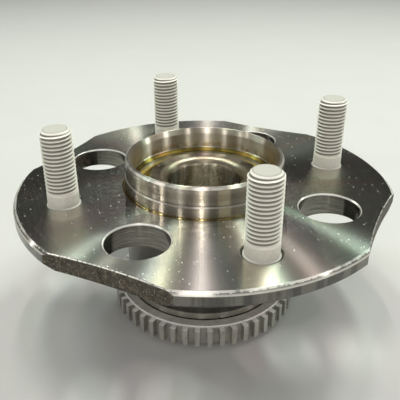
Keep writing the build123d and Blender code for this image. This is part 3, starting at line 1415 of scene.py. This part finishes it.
    def build(self) -> bpy.types.Object:
        """Model the stud, dress it and let it ride on its body.

        Returns:
            The finished object.
        """
        mesh = bmesh.new()
        self.wind_thread(mesh)
        self.run_out(mesh)
        self.draw_shank(mesh)
        open_edges = [edge for edge in mesh.edges if edge.is_boundary]
        bmesh.ops.holes_fill(mesh, edges=open_edges, sides=0)
        bmesh.ops.recalc_face_normals(mesh, faces=mesh.faces)
        piece = finish_piece(mesh, f"{self.node}_threaded", self.sharp_angle)
        finish = ZincFlake().material(
            f"{Slot.STUD.value}_{self.node[-1]}", self.centre.x / MM, self.centre.y / MM
        )
        piece.data.materials.append(finish)
        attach(piece, self.body)
        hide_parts(self.node)
        LOG.info("%s has %d faces", piece.name, len(piece.data.polygons))
        return piece


def finish_piece(
    mesh: bmesh.types.BMesh, name: str, sharp_angle: float
) -> bpy.types.Object:
    """Turn a finished bmesh into an object of the scene.

    Args:
        mesh: the finished shape, which is freed.
        name: the object's name.
        sharp_angle: the angle in degrees past which an edge looks sharp.

    Returns:
        The new object, with smooth faces between its sharp edges.
    """
    data = bpy.data.meshes.new(name)
    mesh.to_mesh(data)
    mesh.free()
    data.shade_smooth()
    data.set_sharp_from_angle(angle=math.radians(sharp_angle))
    piece = bpy.data.objects.new(name, data)
    bpy.context.scene.collection.objects.link(piece)
    return piece


# ---------------------------------------------------------------------------
# Studio
# ---------------------------------------------------------------------------


@dataclass(frozen=True)
class StripLamp:
    """One long soft lamp, set so that turned steel answers it in a narrow ray.

    A turned surface shines where its turning marks lie square to the camera
    and the lamp together. `ray` is the bearing of that place from the
    camera's own, in degrees, and `radius` is how far it lies from the axis.
    """

    name: str
    ray: float
    width: float
    power: float
    colour: tuple = (1.0, 0.975, 0.94)
    length: float = 0.35
    distance: float = 1.2
    radius: float = 0.0

    def bearing_parts(self, seen: Vector, outward: Vector, marks: Vector) -> Vector:
        """Return the lamp's direction as shares outward, along the marks and up."""
        raise NotImplementedError

    def hang(self, camera: Vector) -> bpy.types.Object:
        """Hang the lamp so that it looks at the place it is set for.

        Args:
            camera: where the camera stands.

        Returns:
            The lamp's object.
        """
        bearing = math.atan2(camera.y, camera.x) + math.radians(self.ray)
        outward = Vector((math.cos(bearing), math.sin(bearing), 0.0))
        marks = Vector((-outward.y, outward.x, 0.0))
        place = outward * self.radius
        seen = (camera - place).normalized()
        shares = self.bearing_parts(seen, outward, marks)
        away = outward * shares.x + marks * shares.y + Vector((0.0, 0.0, shares.z))
        along = away.cross(marks).normalized()
        turn = Matrix((along.cross(away), along, away)).transposed()
        data = bpy.data.lights.new(f"lamp_{self.name}", "AREA")
        data.shape = "RECTANGLE"
        data.size, data.size_y = self.width, self.length
        data.energy = self.power
        data.color = self.colour
        lamp = bpy.data.objects.new(data.name, data)
        centre = place + away * self.distance
        lamp.matrix_world = Matrix.Translation(centre) @ turn.to_4x4()
        bpy.context.scene.collection.objects.link(lamp)
        return lamp


@dataclass(frozen=True)
class FaceLamp(StripLamp):
    """A lamp that draws a ray on the flange face.

    `slope` is how far the surface would have to lean to mirror the lamp: a
    steeper one gives a fainter ray that grows toward the rim.
    """

    slope: float = 0.36
    radius: float = 0.055

    def bearing_parts(self, seen: Vector, outward: Vector, marks: Vector) -> Vector:
        """Lean the lamp's direction until a face of that slope would mirror it.

        Args:
            seen: the camera's direction from the lit place.
            outward: the direction away from the axis there.
            marks: the direction of the turning marks there.

        Returns:
            The lamp's direction as shares outward, along the marks and up.
        """
        aside = -seen.dot(marks)
        rest = math.sqrt(1 - aside**2)
        lean = math.atan(self.slope)
        offset = (self.slope * seen.z - seen.dot(outward)) * math.cos(lean) / rest
        angle = lean + math.asin(offset)
        return Vector((rest * math.sin(angle), aside, rest * math.cos(angle)))


@dataclass(frozen=True)
class WallLamp(StripLamp):
    """A lamp that draws an upright band on the pilot's wall."""

    length: float = 0.5
    elevation: float = 16.0
    radius: float = 0.032

    def bearing_parts(self, seen: Vector, outward: Vector, marks: Vector) -> Vector:
        """Turn the lamp's direction at its elevation until the wall mirrors it.

        Args:
            seen: the camera's direction from the lit place.
            outward: the direction away from the axis there; not used.
            marks: the direction of the turning marks there.

        Returns:
            The lamp's direction as shares outward, along the marks and up.
        """
        aside = -seen.dot(marks)
        up = math.sin(math.radians(self.elevation))
        return Vector((math.sqrt(1 - aside**2 - up**2), aside, up))


@dataclass
class Studio:
    """The floor, the lamps, the sky and the camera."""

    floor_height: float
    floor_side: float = 6.0
    sky_low: tuple = (0.05, 0.048, 0.046)
    sky_high: tuple = (0.30, 0.305, 0.315)
    sky_from: float = 0.45
    camera_place: tuple = (-0.06798, -0.19456, 0.09860)
    camera_direction: tuple = (0.2848, 0.8397, -0.4623)
    camera_lens: float = 49.69
    sensor_width: float = 36.0
    clip_start: float = 0.01
    lamps: tuple = (
        FaceLamp("far_left", -38.9, 0.010, 1.9, (0.80, 1.0, 0.93), slope=0.45),
        FaceLamp("outer_left", -29.1, 0.006, 1.4, (1.0, 0.93, 0.85), slope=0.42),
        FaceLamp("left_cool", -15.5, 0.020, 1.2, (0.78, 1.0, 0.98)),
        FaceLamp("left_warm", -12.1, 0.024, 2.2, (1.0, 0.99, 0.76)),
        FaceLamp("middle", -0.9, 0.024, 2.2, (1.0, 0.86, 0.90), slope=0.37),
        FaceLamp("right_warm", 16.8, 0.022, 2.4, (1.0, 0.96, 0.84)),
        FaceLamp("right_cool", 19.6, 0.018, 2.0, (0.72, 1.0, 0.88)),
        FaceLamp("inner_right", 30.3, 0.012, 1.7, (1.0, 0.77, 0.78), slope=0.42),
        FaceLamp("outer_right", 37.8, 0.012, 0.2, (0.95, 1.0, 0.95), slope=0.45),
        FaceLamp("far_right", 48.6, 0.005, 2.0, (0.72, 1.0, 0.84), slope=0.45),
        FaceLamp("back_right", 160.0, 0.026, 0.07, slope=0.0, radius=0.071),
        FaceLamp("back_middle", 179.0, 0.026, 0.055, slope=0.0, radius=0.071),
        FaceLamp("back_left", 210.0, 0.026, 0.06, slope=0.0, radius=0.071),
        WallLamp("front_1", -53.0, 0.030, 0.35),
        WallLamp("front_2", -35.5, 0.030, 0.35),
        WallLamp("front_3", -29.5, 0.045, 1.1),
        WallLamp("front_4", -16.0, 0.040, 0.9),
        WallLamp("front_5", -1.8, 0.070, 1.4),
        WallLamp("front_6", 13.5, 0.050, 0.9),
        WallLamp("front_7", 32.5, 0.070, 1.5),
        WallLamp("front_8", 52.0, 0.060, 1.3),
        WallLamp("overhead", -2.0, 0.300, 1.5, length=0.6, elevation=53.0),
    )

    def lay_floor(self) -> bpy.types.Object:
        """Lay a plain pale floor under the part.

        Returns:
            The floor's object.
        """
        mesh = bmesh.new()
        reach = self.floor_side / 2
        bmesh.ops.create_grid(mesh, x_segments=2, y_segments=2, size=reach)
        bmesh.ops.translate(mesh, vec=(0.0, 0.0, self.floor_height), verts=mesh.verts)
        floor = finish_piece(mesh, "studio_floor", 30.0)
        floor.data.materials.append(PaleFloor().material("studio_floor"))
        floor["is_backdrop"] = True
        return floor

    def light_sky(self) -> None:
        """Light the scene from a sky that is dim at the horizon and pale overhead."""
        world = bpy.data.worlds.new("studio_sky")
        graph = Graph(world)
        source = graph.node("ShaderNodeTexCoord").outputs["Generated"]
        parts = graph.node("ShaderNodeSeparateXYZ", None, {"Vector": source})
        height = Value(graph, parts.outputs["Z"])
        share = height.rise(self.sky_from, 1.0)
        colour = graph.mix(self.sky_low, self.sky_high, share)
        back = graph.node("ShaderNodeBackground", None, {"Color": colour})
        graph.node(
            "ShaderNodeOutputWorld", None, {"Surface": back.outputs["Background"]}
        )
        bpy.context.scene.world = world

    def set_camera(self) -> bpy.types.Object:
        """Stand the camera and make it the scene's own.

        Returns:
            The camera's object.
        """
        data = bpy.data.cameras.new("camera")
        data.lens = self.camera_lens
        data.sensor_width = self.sensor_width
        data.clip_start = self.clip_start
        camera = bpy.data.objects.new("camera", data)
        camera.location = self.camera_place
        look = Vector(self.camera_direction)
        camera.rotation_euler = look.to_track_quat("-Z", "Y").to_euler()
        bpy.context.scene.collection.objects.link(camera)
        bpy.context.scene.camera = camera
        return camera

    def set_up(self) -> None:
        """Lay the floor, hang the lamps and stand the camera."""
        self.lay_floor()
        self.light_sky()
        camera = self.set_camera()
        for lamp in self.lamps:
            lamp.hang(camera.location)
        bpy.context.scene.view_settings.view_transform = "Standard"
        LOG.info("the studio has %d lamps", len(self.lamps))


def main() -> None:
    """Dress the part, model its studs and set up the studio."""
    logging.basicConfig(level=logging.INFO, format="%(message)s")
    cad_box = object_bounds()
    PackedParts().dress()
    for name in sorted(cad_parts):
        if name.startswith(PackedParts.stud_prefix):
            WheelStud(name).build()
    Studio(floor_height=cad_box[0][2]).set_up()


if __name__ == "__main__":
    main()
